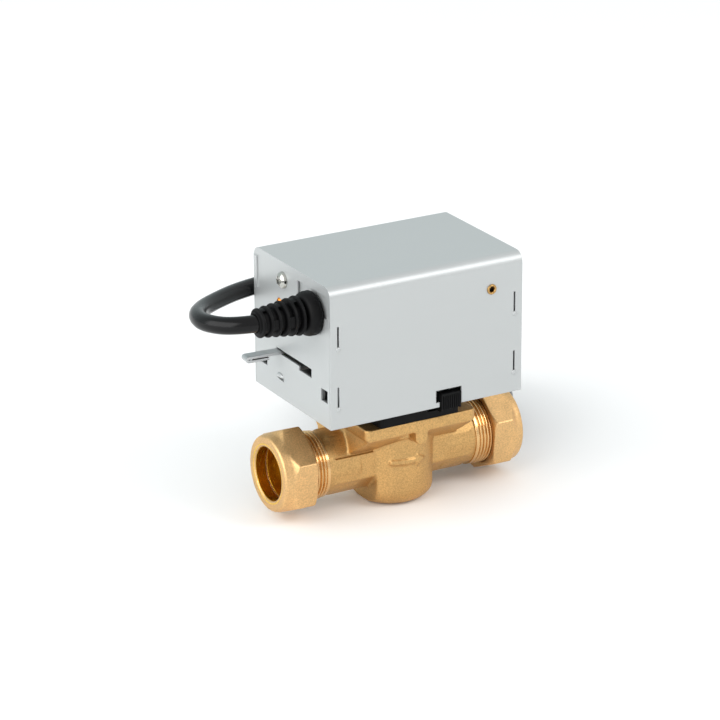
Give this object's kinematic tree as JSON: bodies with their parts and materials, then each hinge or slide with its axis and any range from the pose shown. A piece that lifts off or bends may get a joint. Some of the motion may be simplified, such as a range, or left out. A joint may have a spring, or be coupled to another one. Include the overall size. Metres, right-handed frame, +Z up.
{
  "type": "motorised zone valve",
  "caption": "Two-port motorised zone valve: brass body with compression nuts, sheet-steel actuator head with manual lever, release latch and a flying lead.",
  "frame": {"origin": "on the surface the valve stands on, under the middle of the body, on the vertical line through the pipe's axis midway between the nuts", "axes": "+X along the pipe from the inlet to the outlet, +Y from the front with the release latch to the back, +Z up"},
  "size_m": [0.1764, 0.1315, 0.1045],
  "materials": {
    "brass_casting": "sand-textured hot stamping",
    "brass_machined": "turned, satin",
    "copper_olive": "soft copper alloy, drawn",
    "eyelet_brass": "pressed",
    "steel_bright": "bright zinc plating",
    "stainless": "ground",
    "zinc_sheet": "zinc-coated sheet steel, smooth satin",
    "lever_steel": "zinc-plated strip",
    "motor_steel": "drawn can, zinc plated",
    "copper_winding": "enamelled copper wire, taped",
    "spring_steel": "drawn wire",
    "rubber_black": "moulded",
    "nylon_black": "moulded, fine texture",
    "gland_pvc": "moulded soft plastic, satin",
    "sheath_pvc": "extruded, glossy",
    "switch_case": "moulded",
    "plunger_red": "moulded",
    "core_insulation": "extruded, several colours"
  },
  "bodies": {
    "valve": {"valve_body": "brass_casting", "valve_seat": "brass_machined", "inlet_nut": "brass_machined", "outlet_nut": "brass_machined", "inlet_olive": "copper_olive", "outlet_olive": "copper_olive", "bonnet_plate": "brass_casting", "bonnet_seal": "rubber_black", "bonnet_screws": "steel_bright", "spindle_seals": "rubber_black", "adaptor_plate": "nylon_black", "adaptor_screws": "steel_bright"},
    "paddle": {"spindle": "stainless", "paddle_arm": "brass_casting", "valve_ball": "rubber_black", "ball_rivet": "steel_bright"},
    "head": {"cover": "zinc_sheet", "chassis": "zinc_sheet", "cover_screws": "steel_bright", "end_rivet": "copper_olive", "front_eyelet": "eyelet_brass", "motor_can": "motor_steel", "motor_gearcase": "lever_steel", "motor_coil": "copper_winding", "motor_screws": "steel_bright", "return_spring": "spring_steel", "spring_post": "stainless", "switch_body": "switch_case", "switch_terminals": "eyelet_brass", "switch_screws": "steel_bright", "earth_tag": "eyelet_brass", "earth_screw": "brass_machined", "core_wires": "core_insulation", "lead_gland": "gland_pvc", "lead_tube": "sheath_pvc", "lead_coil": "sheath_pvc", "lead_tail": "sheath_pvc", "coil_tie": "gland_pvc", "bare_cores": "core_insulation"},
    "latch": {"release_latch": "nylon_black", "latch_spring": "spring_steel"},
    "pinion": {"motor_pinion": "brass_machined"},
    "lever": {"sector_gear": "lever_steel", "drive_hub": "brass_machined", "manual_lever": "lever_steel", "lever_rivets": "steel_bright"},
    "plunger": {"switch_plunger": "plunger_red"}
  },
  "joints": [
    {"name": "head_lift", "type": "slide", "parent": "valve", "child": "head", "axis": [0, 0, 1], "range_m": [0, 0.03]},
    {"name": "latch_press", "type": "slide", "parent": "head", "child": "latch", "axis": [0, 1, 0], "range_m": [0, 0.0025], "stiffness_N_per_m": 400, "springref_m": -0.001},
    {"name": "lever_swing", "type": "hinge", "parent": "head", "child": "lever", "pos_m": [0.001, 0.009, 0.0655], "axis": [0, 0, 1], "range_deg": [0, 26], "stiffness_Nm_per_rad": 0.08, "springref_deg": -17.19},
    {"name": "pinion_spin", "type": "hinge", "parent": "head", "child": "pinion", "pos_m": [0.01902, -0.00723, 0.0679], "axis": [0, 0, 1], "range_deg": [-102, 2]},
    {"name": "plunger_press", "type": "slide", "parent": "head", "child": "plunger", "axis": [0, 0, -1], "range_m": [0, 0.0006], "stiffness_N_per_m": 200, "springref_m": -0.001},
    {"name": "paddle_swing", "type": "hinge", "parent": "valve", "child": "paddle", "pos_m": [0.001, 0.009, 0.0195], "axis": [0, 0, 1], "range_deg": [-1, 27]}
  ],
  "couplings": [
    {"joint": "pinion_spin", "follows": "lever_swing", "ratio": -3.8},
    {"joint": "paddle_swing", "follows": "lever_swing", "ratio": 1}
  ]
}
